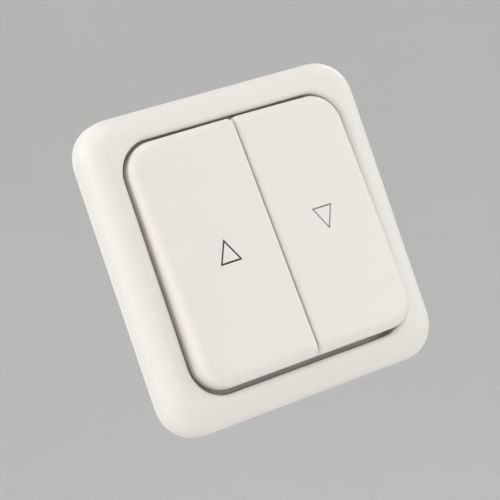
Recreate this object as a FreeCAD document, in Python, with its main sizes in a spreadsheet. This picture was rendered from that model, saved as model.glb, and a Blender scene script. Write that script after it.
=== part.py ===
# Flush-mounted roller shutter switch with two rockers, in millimetres.
# X runs to the right, Z up, and Y into the wall, whose face is the plane Y = 0. The origin
# is the centre of the device screw pattern. "Height" in a name is measured out of the wall.

import FreeCAD, Part
import math
import os
import Sketcher

document = FreeCAD.newDocument("roller_shutter_switch")
sheet = document.addObject("Spreadsheet::Sheet", "sizes")
origin = FreeCAD.Vector(0, 0, 0)
along_x = FreeCAD.Vector(1, 0, 0)
into_wall = FreeCAD.Vector(0, 1, 0)
upward = FreeCAD.Vector(0, 0, 1)
no_turn = FreeCAD.Rotation()
right, left = 1, -1
overrun = 0.5  # how far a cutting tool, or a root that is fused, runs past a face
slack = 0.01  # how exactly an edge has to lie where it is looked for


# Driving dimensions

driving_dimensions = {
    # cover frame
    "band_width": 7.75,
    "frame_corner": 9.9,
    "frame_crest": 9.4,
    "frame_roll": 6.0,
    "frame_skin": 2.0,
    "opening_corner": 9.0,
    "opening_wall": 1.6,
    "lip_round": 1.2,
    "rib_spacing": 18.0,
    "rib_thick": 1.2,
    "rib_play": 0.4,
    "ledge_width": 4.4,
    "ledge_thick": 1.4,
    # rockers
    "rocker_gap": 1.1,
    "seam_gap": 0.4,
    "rocker_corner": 8.0,
    "seam_height": 14.4,
    "crown_radius": 300.0,
    "rocker_round": 2.6,
    "seam_round": 1.2,
    "seam_corner": 1.6,
    "rocker_skin": 1.8,
    "skirt_height": 5.5,
    "seam_wall_height": 8.2,
    "pivot_height": 5.0,
    "rest_tilt": 3.6,
    # support ring and insert
    "screw_spacing": 60.0,
    "slot_width": 3.8,
    "slot_length": 8.0,
    "ring_edge": 5.5,
    "ring_lap": 3.0,
    "ring_corner": 6.0,
    "ring_thick": 1.2,
    "ring_notch": 1.0,
    "ring_opening_corner": 3.0,
    "base_corner": 9.0,
    "base_lap": 2.0,
    "base_round": 1.2,
    "field_depth": 0.6,
    "field_edge": 5.0,
    "ejector_radius": 1.6,
    "ejector_depth": 0.2,
    "spigot_play": 0.2,
    "cover_thick": 1.6,
    "cover_side_inset": 0.1,
    "cover_end_inset": 0.5,
    # bearings and carriers
    "trunnion_radius": 1.5,
    "running_play": 0.05,
    "side_play": 0.2,
    "bearing_round": 2.8,
    "cheek_thick": 1.5,
    "middle_cheek": 2.8,
    "hub_radius": 2.6,
    "carrier_low": 1.6,
    "carrier_thick": 2.6,
    "carrier_inset": 1.0,
    "window_play": 0.6,
    "stem_radius": 3.4,
    "stem_reach": 8.4,
    "stem_bore": 2.45,
    "bore_roof": 0.4,
    "clip_width": 8.0,
    "clip_thick": 1.6,
    "clip_hook": 0.9,
    "clip_play": 0.15,
    # snap action
    "plunger_radius": 2.35,
    "plunger_grip": 1.8,
    "plunger_length": 5.4,
    "plunger_taper": 1.1,
    "tip_radius": 0.9,
    "pin_radius": 1.3,
    "pin_length": 2.0,
    "coil_radius": 2.0,
    "coil_wire_radius": 0.25,
    "coil_turns": 5.0,
    "see_saw_width": 5.0,
    "see_saw_thick": 0.8,
    "see_saw_gain": 1.66667,
    "tip_play": 0.25,
    "swing_play": 1.8,
    "contact_inset": 1.0,
    "contact_creep": 0.32,
    "contact_radius": 1.3,
    "contact_thick": 0.5,
    "contact_play": 0.09,
    "contact_stand": 0.58,
    # housing cavities
    "side_wall": 3.0,
    "cavity_outer_room": 8.0,
    "cavity_inner_room": 5.0,
    "chamber_wall": 3.5,
    "chamber_rise": 6.6,
    "chamber_half": 4.1,
    "chamber_room": 7.0,
    "partition": 1.6,
    "back_wall": 4.0,
    "feed_inset": 2.5,
    # bus bars
    "strip_width": 4.0,
    "strip_thick": 0.8,
    "strip_play": 0.2,
    "link_width": 3.6,
    "knife_half": 0.9,
    "knife_tip": 0.15,
    "knife_play": 0.05,
    "knife_foot": 1.5,
    "rail_width": 1.8,
    "plate_play": 0.6,
    # terminals
    "wire_hole_radius": 1.4,
    "wire_hole_offset": 2.0,
    "wire_play": 0.2,
    "clamp_thick": 0.35,
    "clamp_play": 0.05,
    "clamp_width": 6.4,
    "clamp_loop": 1.6,
    "clamp_margin": 0.4,
    "clamp_back": 3.1,
    "clamp_reach": 3.2,
    "clamp_tip_lean": 1.6,
    "button_width": 5.0,
    "button_thick": 1.4,
    "button_margin": 0.5,
    "button_stop": 1.7,
    "button_proud": 0.8,
    "button_flange": 6.6,
    "button_play": 0.1,
    # claws
    "claw_inset": 4.8,
    "claw_gap": 2.7,
    "claw_hole_play": 0.3,
    "claw_shank": 1.45,
    "claw_screw_tail": 1.25,
    "claw_head_radius": 2.5,
    "claw_head_thick": 1.8,
    "driver_slot": 0.7,
    "driver_depth": 0.9,
    "nut_half_width": 2.5,
    "nut_half_height": 2.1,
    "nut_thick": 2.3,
    "claw_thick": 1.2,
    "claw_beyond": 3.0,
    "claw_tooth": 0.8,
    "claw_half_height": 4.4,
    "claw_fork": 1.7,
    "claw_lead": 0.1,
    "claw_leg": 5.7,
    "claw_play": 0.12,
    "ramp_rise": 4.4,
    "ramp_front": 2.0,
    "ramp_back": 14.0,
    "ramp_inner": 2.4,
    "ramp_outer": 4.4,
    # housing screws
    "housing_screw_inset": 5.4,
    "housing_screw_shank": 1.2,
    "housing_screw_length": 9.0,
    "housing_screw_head": 2.2,
    "housing_head_thick": 0.9,
}


class Size:
    """A length that knows its number and the sheet formula that it comes from."""

    def __init__(self, number, formula):
        self.number = number
        self.formula = formula

    def joined(self, other, sign, number):
        return Size(number, "(" + self.formula + " " + sign + " " + other.formula + ")")

    def __add__(self, other):
        other = as_size(other)
        return self.joined(other, "+", self.number + other.number)

    def __sub__(self, other):
        other = as_size(other)
        return self.joined(other, "-", self.number - other.number)

    def __mul__(self, other):
        other = as_size(other)
        return self.joined(other, "*", self.number * other.number)

    def __truediv__(self, other):
        other = as_size(other)
        return self.joined(other, "/", self.number / other.number)

    def __neg__(self):
        return Size(-self.number, "(-1 * " + self.formula + ")")

    __radd__ = __add__
    __rmul__ = __mul__


def as_size(value):
    return value if isinstance(value, Size) else Size(float(value), repr(float(value)))


def tangent(angle):
    return Size(math.tan(math.radians(angle.number)), "tan(" + angle.formula + " * 1 deg)")


class Dimensions:
    """The sheet's cells as attributes, with the sizes that follow from them."""


d = Dimensions()
for row, (alias, number) in enumerate(driving_dimensions.items(), start=1):
    sheet.set("A" + str(row), alias.replace("_", " "))
    sheet.set("B" + str(row), str(number))
    sheet.setAlias("B" + str(row), alias)
    setattr(d, alias, Size(number, "sizes." + alias))
document.recompute()

# From the device screws outwards
d.ring_side = d.screw_spacing + 2 * d.ring_edge
d.opening_side = d.ring_side - 2 * d.ring_lap
d.frame_side = d.opening_side + 2 * d.band_width
d.claw_offset = d.screw_spacing / 2 - d.claw_inset
d.base_side = 2 * (d.claw_offset - d.claw_gap)
# From the base housing's side inwards
d.ring_opening = d.base_side - 2 * d.base_lap
d.cover_reach = d.base_side / 2 - d.cover_side_inset
d.cover_rise = d.base_side / 2 - d.cover_end_inset
d.housing_screw_offset = d.cover_rise - d.housing_screw_inset
d.cavity_outer = d.base_side / 2 - d.side_wall
d.mechanism_offset = d.cavity_outer - d.cavity_outer_room
d.cavity_inner = d.mechanism_offset - d.cavity_inner_room
d.feed_chamber_reach = d.cavity_outer - d.feed_inset
d.chamber_high = d.base_side / 2 - d.chamber_wall
d.chamber_low = d.chamber_high - d.chamber_rise
d.cavity_rise = d.chamber_low - d.partition
d.field_reach = d.base_side / 2 - d.field_edge
d.field_rise = d.cavity_rise
d.ejector_rise = d.field_rise / 2
d.carrier_rise = d.cavity_rise - d.swing_play
d.see_saw_arm = d.cavity_rise - d.swing_play
d.contact_arm = d.see_saw_arm - d.contact_inset
d.moving_contact_arm = d.contact_arm - d.contact_creep
# From the carrier's stem back to the wire entries
d.plunger_top = d.stem_reach - d.plunger_grip
d.plunger_shoulder = d.plunger_top + d.plunger_length
d.plunger_tip = d.plunger_shoulder + d.plunger_taper + d.tip_radius
d.see_saw_tilt = d.rest_tilt * d.see_saw_gain
d.see_saw_depth = d.plunger_tip - d.pivot_height + d.tip_play + d.see_saw_thick
d.contact_swing = (d.contact_arm + d.contact_radius) * tangent(d.see_saw_tilt)
d.contact_depth = d.see_saw_depth + d.contact_thick + d.contact_swing + d.contact_play
d.floor_depth = d.contact_depth + d.contact_stand + d.strip_thick
d.chamber_depth = d.floor_depth + d.chamber_room
d.base_depth = d.chamber_depth + d.back_wall
# Terminals, from the chamber's walls
d.plate_rise = d.chamber_high - d.button_play
d.plate_reach = d.chamber_depth - d.plate_play
d.wire_hole_rise = d.plate_rise - d.strip_thick - d.wire_play - d.wire_hole_radius
d.button_rise = d.chamber_low + d.button_margin + d.button_thick / 2
d.clamp_loop_rise = d.chamber_low + d.clamp_margin + d.clamp_loop
# Claws, from their screws and the housing's ramps
d.claw_fork_end = d.claw_offset + d.claw_fork
d.claw_reach = d.claw_offset + d.claw_beyond
d.claw_foot_depth = d.ramp_back - d.claw_lead
d.claw_leg_front = d.claw_foot_depth - d.claw_leg
d.claw_nut_depth = d.claw_foot_depth + d.running_play
d.claw_screw_end = d.claw_nut_depth + d.nut_thick + d.claw_screw_tail


# Helpers

def bind(item, name, size):
    item.setExpression(name, as_size(size).formula)


def place(item, x=0, y=0, z=0, axis=None, degrees=0):
    """Puts an object at a bound place, turned about one axis through it."""
    item.Placement = FreeCAD.Placement(origin, FreeCAD.Rotation(axis or upward, 1.0 if axis else 0.0))
    for letter, size in (("x", x), ("y", y), ("z", z)):
        bind(item, "Placement.Base." + letter, size)
    if axis:
        bind(item, "Placement.Rotation.Angle", degrees)


def new_body(label):
    body = document.addObject("PartDesign::Body", label)
    body.Label = label
    return body


def new_sketch(body, name, role, offset=0):
    sketch = body.newObject("Sketcher::SketchObject", body.Label + "_" + name)
    sketch.AttachmentSupport = [(plane, "") for plane in body.Origin.OriginFeatures if plane.Role == role]
    sketch.MapMode = "FlatFace"
    bind(sketch, "AttachmentOffset.Base.z", offset)
    return sketch


def dimension(sketch, kind, geometry, point, size):
    """A bound distance from the sketch's origin to a point, or a bound radius."""
    if kind == "Radius":
        index = sketch.addConstraint(Sketcher.Constraint(kind, geometry, size.number))
    else:
        index = sketch.addConstraint(Sketcher.Constraint(kind, -1, 1, geometry, point, size.number))
    name = kind + str(index)
    sketch.renameConstraint(index, name)
    bind(sketch, "Constraints." + name, size)


def point_of(x, y):
    return FreeCAD.Vector(x.number, y.number, 0)


def polygon(sketch, corners):
    """A closed outline with every corner bound."""
    corners = [(as_size(x), as_size(y)) for x, y in corners]
    lines = []
    for here, there in zip(corners, corners[1:] + corners[:1]):
        lines.append(sketch.addGeometry(Part.LineSegment(point_of(*here), point_of(*there))))
    for line, following in zip(lines, lines[1:] + lines[:1]):
        sketch.addConstraint(Sketcher.Constraint("Coincident", line, 2, following, 1))
    for line, (x, y) in zip(lines, corners):
        dimension(sketch, "DistanceX", line, 1, x)
        dimension(sketch, "DistanceY", line, 1, y)


def rectangle(sketch, x0, x1, y0, y1):
    polygon(sketch, [(x0, y0), (x1, y0), (x1, y1), (x0, y1)])


def rounded_square(sketch, side, corner):
    """A centred square outline with four equal round corners."""
    half = side / 2
    reach = half - corner
    a, b, radius = half.number, reach.number, corner.number
    ends = [((-b, -a), (b, -a)), ((a, -b), (a, b)), ((b, a), (-b, a)), ((-a, b), (-a, -b))]
    centres = [(b, -b), (b, b), (-b, b), (-b, -b)]
    lines, arcs = [], []
    for quarter, ((start, end), centre) in enumerate(zip(ends, centres)):
        line = Part.LineSegment(FreeCAD.Vector(*start, 0), FreeCAD.Vector(*end, 0))
        circle = Part.Circle(FreeCAD.Vector(*centre, 0), upward, radius)
        first = (quarter - 1) * math.pi / 2
        lines.append(sketch.addGeometry(line))
        arcs.append(sketch.addGeometry(Part.ArcOfCircle(circle, first, first + math.pi / 2)))
    for line, arc, following in zip(lines, arcs, lines[1:] + lines[:1]):
        sketch.addConstraint(Sketcher.Constraint("Tangent", line, 2, arc, 1))
        sketch.addConstraint(Sketcher.Constraint("Tangent", arc, 2, following, 1))
    for line, kind in zip(lines, ("Horizontal", "Vertical", "Horizontal", "Vertical")):
        sketch.addConstraint(Sketcher.Constraint(kind, line))
    for arc in arcs[1:]:
        sketch.addConstraint(Sketcher.Constraint("Equal", arcs[0], arc))
    dimension(sketch, "Radius", arcs[0], 0, corner)
    for line, kind, size in zip(lines, ("DistanceY", "DistanceX") * 2, (-half, half, half, -half)):
        dimension(sketch, kind, line, 1, size)


def circle_at(sketch, x, y, radius):
    x, y = as_size(x), as_size(y)
    circle = sketch.addGeometry(Part.Circle(point_of(x, y), upward, radius.number))
    dimension(sketch, "DistanceX", circle, 3, x)
    dimension(sketch, "DistanceY", circle, 3, y)
    dimension(sketch, "Radius", circle, 0, radius)


def slot_at(sketch, x, y, width, length):
    """An upright slot with round ends about a centre."""
    x, y = as_size(x), as_size(y)
    radius = width / 2
    reach = (length - width) / 2
    low, high = point_of(x, y - reach), point_of(x, y + reach)
    offset = FreeCAD.Vector(radius.number, 0, 0)
    top, bottom = Part.Circle(high, upward, radius.number), Part.Circle(low, upward, radius.number)
    one = sketch.addGeometry(Part.LineSegment(low + offset, high + offset))
    cap = sketch.addGeometry(Part.ArcOfCircle(top, 0, math.pi))
    two = sketch.addGeometry(Part.LineSegment(high - offset, low - offset))
    cup = sketch.addGeometry(Part.ArcOfCircle(bottom, math.pi, 2 * math.pi))
    for before, after in ((one, cap), (cap, two), (two, cup), (cup, one)):
        sketch.addConstraint(Sketcher.Constraint("Tangent", before, 2, after, 1))
    for line in (one, two):
        sketch.addConstraint(Sketcher.Constraint("Vertical", line))
    dimension(sketch, "Radius", cap, 0, radius)
    dimension(sketch, "DistanceX", cap, 3, x)
    dimension(sketch, "DistanceY", cap, 3, y + reach)
    dimension(sketch, "DistanceY", cup, 3, y - reach)


def pad(body, sketch, length, backwards=False, symmetric=False):
    feature = body.newObject("PartDesign::Pad", sketch.Label + "_pad")
    feature.Profile = sketch
    feature.Reversed = backwards
    feature.SideType = "Symmetric" if symmetric else "One side"
    bind(feature, "Length", length)
    document.recompute()
    return feature


def pocket(body, sketch, length, backwards=False, symmetric=False):
    """A pocket that must take material away."""
    before = body.Shape.Volume
    feature = body.newObject("PartDesign::Pocket", sketch.Label + "_pocket")
    feature.Profile = sketch
    feature.Reversed = backwards
    feature.SideType = "Symmetric" if symmetric else "One side"
    bind(feature, "Length", length)
    document.recompute()
    if not body.Shape.Volume < before:
        raise RuntimeError(feature.Label + " cuts nothing")
    return feature


def edges_of(feature, chosen):
    """Names of the edges whose middle and box satisfy a test."""
    names = []
    for number, edge in enumerate(feature.Shape.Edges, start=1):
        middle = edge.valueAt((edge.FirstParameter + edge.LastParameter) / 2)
        if chosen(middle, edge.BoundBox):
            names.append("Edge" + str(number))
    return names


def fillet(body, feature, chosen, radius):
    rounded = body.newObject("PartDesign::Fillet", feature.Label + "_fillet")
    rounded.Base = (feature, edges_of(feature, chosen))
    bind(rounded, "Radius", radius)
    document.recompute()
    return rounded


def box(name, x0, x1, y0, y1, z0, z1):
    """A block between bound planes."""
    block = document.addObject("Part::Box", name)
    spans = (("x", "Length", x0, x1), ("y", "Width", y0, y1), ("z", "Height", z0, z1))
    for letter, span, low, high in spans:
        bind(block, span, as_size(high) - low)
        bind(block, "Placement.Base." + letter, low)
    return block


def rod(name, radius, start, length, axis):
    """A round bar from a bound point along an axis."""
    bar = document.addObject("Part::Cylinder", name)
    bar.Placement = FreeCAD.Placement(origin, FreeCAD.Rotation(upward, axis))
    bind(bar, "Radius", radius)
    bind(bar, "Height", length)
    for letter, size in zip("xyz", start):
        bind(bar, "Placement.Base." + letter, size)
    return bar


def fused(name, pieces):
    whole = document.addObject("Part::MultiFuse", name)
    whole.Shapes = pieces
    whole.Refine = True
    return whole


def less(name, whole, tools):
    rest = document.addObject("Part::Cut", name)
    rest.Base = whole
    rest.Tool = tools[0] if len(tools) == 1 else fused(name + "_tools", tools)
    rest.Refine = True
    return rest


def mirrored(source, label):
    """The left-hand twin of a right-hand piece."""
    twin = document.addObject("Part::Mirroring", label)
    twin.Source = source
    twin.Normal = along_x
    return twin


nodes = {}


def node(item, label):
    item.Label = label
    nodes[label] = item


def near(value, size):
    return abs(value - size.number) < slack


def outline_edges(height, reach):
    """Picks the edges of a centred outline at a height that reaches so far out."""
    def chosen(p, b):
        extent = max(abs(b.XMin), abs(b.XMax), abs(b.ZMin), abs(b.ZMax))
        return near(-b.YMin, height) and near(-b.YMax, height) and near(extent, reach)
    return chosen


def span(low, high, side):
    """A pair of bounds, mirrored to the left or the bottom where the side says so."""
    return (low, high) if side == right else (-as_size(high), -as_size(low))


# Cover frame: rolled outside, lip round the opening, hollow behind, ledge on the ring

def make_cover_frame():
    body = new_body("cover_frame")
    outline = new_sketch(body, "outline", "XZ_Plane")
    rounded_square(outline, d.frame_side, d.frame_corner)
    block = pad(body, outline, d.frame_crest)
    fillet(body, block, outline_edges(d.frame_crest, d.frame_side / 2), d.frame_roll)
    window = new_sketch(body, "window", "XZ_Plane", d.frame_crest)
    rounded_square(window, d.opening_side, d.opening_corner)
    ledge_top = d.ring_thick + d.ledge_thick
    opened = pocket(body, window, d.frame_crest - ledge_top)
    fillet(body, opened, outline_edges(d.frame_crest, d.opening_side / 2), d.lip_round)
    passage = new_sketch(body, "passage", "XZ_Plane", ledge_top)
    rounded_square(passage, d.opening_side - 2 * d.ledge_width, d.opening_corner - d.ledge_width)
    pocket(body, passage, ledge_top)
    hollow = new_sketch(body, "hollow", "XZ_Plane")
    rounded_square(hollow, d.frame_side - 2 * d.frame_skin, d.frame_corner - d.frame_skin)
    rounded_square(hollow, d.opening_side + 2 * d.opening_wall, d.opening_corner + d.opening_wall)
    roof = d.frame_crest - d.frame_skin
    hollowed = pocket(body, hollow, roof, backwards=True)
    rim = outline_edges(roof, d.frame_side / 2 - d.frame_skin)
    fillet(body, hollowed, rim, d.frame_roll - d.frame_skin)
    add_frame_ribs(body, roof)
    seat = new_sketch(body, "ring_seat", "XZ_Plane")
    tube_side = d.opening_side + 2 * d.opening_wall
    rounded_square(seat, tube_side + 2 * overrun, d.opening_corner + d.opening_wall)
    pocket(body, seat, d.ring_thick, backwards=True)
    node(body, "cover_frame")


def add_frame_ribs(body, roof):
    """Three stiffening ribs on each side, across the hollow and clear of the ring."""
    low = d.ring_thick + d.rib_play
    ribs = new_sketch(body, "ribs", "XZ_Plane", low)
    near_wall = d.opening_side / 2 + d.opening_wall - slack
    far_wall = d.frame_side / 2 - d.frame_skin + slack
    for side in (left, right):
        across = span(near_wall, far_wall, side)
        for step in (-1, 0, 1):
            centre = step * d.rib_spacing
            along = (centre - d.rib_thick / 2, centre + d.rib_thick / 2)
            rectangle(ribs, *across, *along)
            rectangle(ribs, *along, *across)
    pad(body, ribs, roof - low + slack)


# Rocker caps, modelled about the pivot axis and then tilted to their off position

def make_rockers():
    half = d.opening_side / 2 - d.rocker_gap
    seam = d.seam_gap / 2
    top = d.seam_height - d.pivot_height
    low = d.skirt_height - d.pivot_height
    wall_low = d.seam_wall_height - d.pivot_height
    centre = top - d.crown_radius
    blank = new_body("rocker_blank")
    crown = new_sketch(blank, "section", "XY_Plane")
    crowned_outline(crown, seam, half, low, centre, d.crown_radius)
    block = pad(blank, crown, 2 * half, symmetric=True)
    corners = fillet(blank, block, outer_corner(half), d.rocker_corner)

    def on_outer_crown(p, b):
        return -b.YMax > low.number + slack and b.XMax > seam.number + slack

    rounded = fillet(blank, corners, on_outer_crown, d.rocker_round)

    def on_seam_crown(p, b):
        return -p.y > top.number - d.rocker_round.number and near(b.XMax, seam)

    fillet(blank, rounded, on_seam_crown, d.seam_round)
    core = new_body("rocker_core")
    hollow = new_sketch(core, "section", "XY_Plane")
    inner_half = half - d.rocker_skin
    crowned_outline(hollow, seam + d.rocker_skin, inner_half, low - overrun, centre,
                    d.crown_radius - d.rocker_skin)
    inside = pad(core, hollow, 2 * inner_half, symmetric=True)
    fillet(core, inside, outer_corner(inner_half), d.rocker_corner - d.rocker_skin)
    notch = box("seam_notch", seam - overrun, seam + d.rocker_skin + overrun, -wall_low,
                -low + overrun, -inner_half, inner_half)
    cap = less("rocker_cap", blank, [core, notch] + seam_corners(seam, half))
    rocker = fused("rocker_down", [cap] + clip_legs())
    place(rocker, y=-d.pivot_height, axis=along_x, degrees=-d.rest_tilt)
    node(rocker, "rocker_down")
    node(mirrored(rocker, "rocker_up"), "rocker_up")


def outer_corner(half):
    """Picks the two upright edges at a square outline's outer corners."""
    return lambda p, b: near(b.XMin, half) and near(b.XMax, half) and near(abs(p.z), half)


def seam_corners(seam, half):
    """What a square corner has beyond its round, at both ends of the seam."""
    inner = half - d.seam_corner
    reach = d.seam_height
    tools = []
    for level, name in ((right, "upper"), (left, "lower")):
        square = box(name + "_corner", seam - overrun, seam + d.seam_corner, -reach, reach,
                     *span(inner, half + overrun, level))
        round_part = rod(name + "_corner_round", d.seam_corner,
                         (seam + d.seam_corner, -reach, level * inner), 2 * reach, into_wall)
        tools.append(less(name + "_corner_waste", square, [round_part]))
    return tools


def clip_legs():
    """Two hooked legs under the cap, which grip the carrier's ends."""
    x0 = d.mechanism_offset - d.clip_width / 2
    x1 = d.mechanism_offset + d.clip_width / 2
    z0 = d.carrier_rise + d.clip_play
    roof = d.seam_height - d.pivot_height - d.rocker_skin
    hook_top = d.carrier_low - d.clip_play
    hook_low = hook_top - d.clip_hook
    pieces = []
    for level, name in ((right, "upper"), (left, "lower")):
        pieces.append(box(name + "_leg", x0, x1, -roof, -hook_low, *span(z0, z0 + d.clip_thick, level)))
        pieces.append(box(name + "_hook", x0, x1, -hook_top, -hook_low,
                          *span(z0 - d.clip_hook, z0 + d.clip_thick, level)))
    return pieces


def crowned_outline(sketch, near_x, far_x, low, centre, radius):
    """A section closed by a long arc about a centre on the axis of symmetry."""
    start = math.sqrt(radius.number ** 2 - far_x.number ** 2)
    stop = math.sqrt(radius.number ** 2 - near_x.number ** 2)
    far_y, near_y = -(centre.number + start), -(centre.number + stop)
    corners = [(near_x.number, near_y), (near_x.number, -low.number),
               (far_x.number, -low.number), (far_x.number, far_y)]
    lines = []
    for here, there in zip(corners, corners[1:]):
        lines.append(sketch.addGeometry(
            Part.LineSegment(FreeCAD.Vector(*here, 0), FreeCAD.Vector(*there, 0))))
    circle = Part.Circle(FreeCAD.Vector(0, -centre.number, 0), upward, radius.number)
    first = math.atan2(far_y + centre.number, far_x.number)
    last = math.atan2(near_y + centre.number, near_x.number)
    arc = sketch.addGeometry(Part.ArcOfCircle(circle, min(first, last), max(first, last)))
    ends = (1, 2) if last < first else (2, 1)
    for line, following in zip(lines, lines[1:]):
        sketch.addConstraint(Sketcher.Constraint("Coincident", line, 2, following, 1))
    sketch.addConstraint(Sketcher.Constraint("Coincident", lines[0], 1, arc, ends[0]))
    sketch.addConstraint(Sketcher.Constraint("Coincident", lines[2], 2, arc, ends[1]))
    for line in (lines[0], lines[2]):
        sketch.addConstraint(Sketcher.Constraint("Vertical", line))
    dimension(sketch, "DistanceX", lines[0], 2, near_x)
    dimension(sketch, "DistanceY", lines[0], 2, -low)
    dimension(sketch, "DistanceX", lines[2], 1, far_x)
    dimension(sketch, "DistanceY", lines[2], 1, -low)
    dimension(sketch, "Radius", arc, 0, radius)
    dimension(sketch, "DistanceX", arc, 3, as_size(0))
    dimension(sketch, "DistanceY", arc, 3, -centre)


# Support ring: punched plate with device screw slots, claw screw holes and levelling notches

def make_support_ring():
    body = new_body("support_ring")
    outline = new_sketch(body, "outline", "XZ_Plane")
    rounded_square(outline, d.ring_side, d.ring_corner)
    rounded_square(outline, d.ring_opening, d.ring_opening_corner)
    pad(body, outline, d.ring_thick)
    holes = new_sketch(body, "holes", "XZ_Plane", d.ring_thick)
    reach = d.screw_spacing / 2
    for side in (left, right):
        slot_at(holes, side * reach, 0, d.slot_width, d.slot_length)
        slot_at(holes, 0, side * reach, d.slot_width, d.slot_length)
        circle_at(holes, side * d.claw_offset, 0, d.claw_shank + d.claw_hole_play)
        circle_at(holes, side * d.ring_side / 2, 0, d.ring_notch)
        circle_at(holes, 0, side * d.ring_side / 2, d.ring_notch)
    pocket(body, holes, d.ring_thick)
    node(body, "support_ring")


# Base housing: moulded box with the mechanism cavities, terminals and claw ramps

terminals = {
    "up": (left, right),
    "down": (right, right),
    "feed": (left, left),
}


def make_base_housing():
    body = new_body("base_housing")
    outline = new_sketch(body, "outline", "XZ_Plane")
    rounded_square(outline, d.base_side, d.base_corner)
    block = pad(body, outline, d.base_depth, backwards=True)
    fillet(body, block, outline_edges(-d.base_depth, d.base_side / 2), d.base_round)
    spigot = new_sketch(body, "spigot", "XZ_Plane")
    rounded_square(spigot, d.ring_opening - 2 * d.spigot_play, d.ring_opening_corner)
    pad(body, spigot, d.ring_thick)
    front = d.ring_thick
    cavities = new_sketch(body, "cavities", "XZ_Plane", front)
    for side in (left, right):
        rectangle(cavities, *span(d.cavity_inner, d.cavity_outer, side), -d.cavity_rise, d.cavity_rise)
    pocket(body, cavities, front + d.floor_depth)
    chambers = new_sketch(body, "chambers", "XZ_Plane", front)
    for side, level in terminals.values():
        inner = d.mechanism_offset - d.chamber_half
        outer = d.feed_chamber_reach if level == left else d.mechanism_offset + d.chamber_half
        rectangle(chambers, *span(inner, outer, side), *span(d.chamber_low, d.chamber_high, level))
    pocket(body, chambers, front + d.chamber_depth)
    passages = new_sketch(body, "passages", "XZ_Plane", front)
    slot_half = d.strip_width / 2 + d.strip_play
    rise = (d.cavity_rise - overrun, d.chamber_low + overrun)
    for side in (left, right):
        width = span(d.mechanism_offset - slot_half, d.mechanism_offset + slot_half, side)
        rectangle(passages, *width, *rise)
    rail_inner = d.feed_chamber_reach - 2 * d.strip_play - d.rail_width
    rectangle(passages, *span(rail_inner, d.feed_chamber_reach, left), *span(*rise, left))
    link = link_rise()
    rectangle(passages, -d.cavity_inner - overrun, d.cavity_inner + overrun,
              link[0] - d.strip_play, link[1] + d.strip_play)
    pocket(body, passages, front + d.floor_depth)
    add_off_stop(body)
    cut_terminal_holes(body)
    add_claw_ramps(body)
    posts = new_sketch(body, "screw_holes", "XZ_Plane", front)
    for level in (left, right):
        circle_at(posts, 0, level * d.housing_screw_offset, d.housing_screw_shank + d.running_play)
    pocket(body, posts, d.housing_screw_length + front)
    add_back_field(body)
    node(body, "base_housing")


def add_back_field(body):
    """A shallow bare field on the back, with the marks of four ejector pins in it."""
    field = new_sketch(body, "field", "XZ_Plane", -d.base_depth)
    rectangle(field, -d.field_reach, d.field_reach, -d.field_rise, d.field_rise)
    pocket(body, field, d.field_depth, backwards=True)
    marks = new_sketch(body, "ejector_marks", "XZ_Plane", -d.base_depth)
    for side in (left, right):
        for level in (left, right):
            circle_at(marks, side * d.mechanism_offset, level * d.ejector_rise, d.ejector_radius)
    pocket(body, marks, d.field_depth + d.ejector_depth, backwards=True)


def link_rise():
    half = d.link_width / 2
    return (-d.contact_arm - half, -d.contact_arm + half)


def add_off_stop(body):
    stop = new_sketch(body, "off_stop", "XZ_Plane", -d.floor_depth)
    circle_at(stop, d.mechanism_offset, -d.contact_arm, d.contact_radius)
    pad(body, stop, d.floor_depth - d.contact_depth)


def cut_terminal_holes(body):
    holes = new_sketch(body, "terminal_holes", "XZ_Plane", -d.base_depth)
    for side, level in terminals.values():
        for offset in (left, right):
            x = side * (d.mechanism_offset + offset * d.wire_hole_offset)
            circle_at(holes, x, level * d.wire_hole_rise, d.wire_hole_radius)
        half = d.button_width / 2 + d.button_play
        thick = d.button_thick / 2 + d.button_play
        rectangle(holes, *span(d.mechanism_offset - half, d.mechanism_offset + half, side),
                  *span(d.button_rise - thick, d.button_rise + thick, level))
    pocket(body, holes, d.base_depth - d.chamber_depth + overrun, backwards=True)


def add_claw_ramps(body):
    """Four ribs beside the insert, whose slopes push the claws outwards."""
    base = d.base_side / 2
    for side, place_name in ((right, "right"), (left, "left")):
        for level, level_name in ((right, "high"), (left, "low")):
            offset = d.ramp_inner if level == right else -d.ramp_outer
            ramp = new_sketch(body, place_name + "_" + level_name + "_ramp", "XY_Plane", offset)
            polygon(ramp, [
                (side * (base - overrun), d.ramp_front), (side * (base + d.ramp_rise), d.ramp_front),
                (side * base, d.ramp_back), (side * (base - overrun), d.ramp_back)])
            pad(body, ramp, d.ramp_outer - d.ramp_inner)


# Mechanism cover: plate over the insert with the three bearing cheeks

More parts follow.
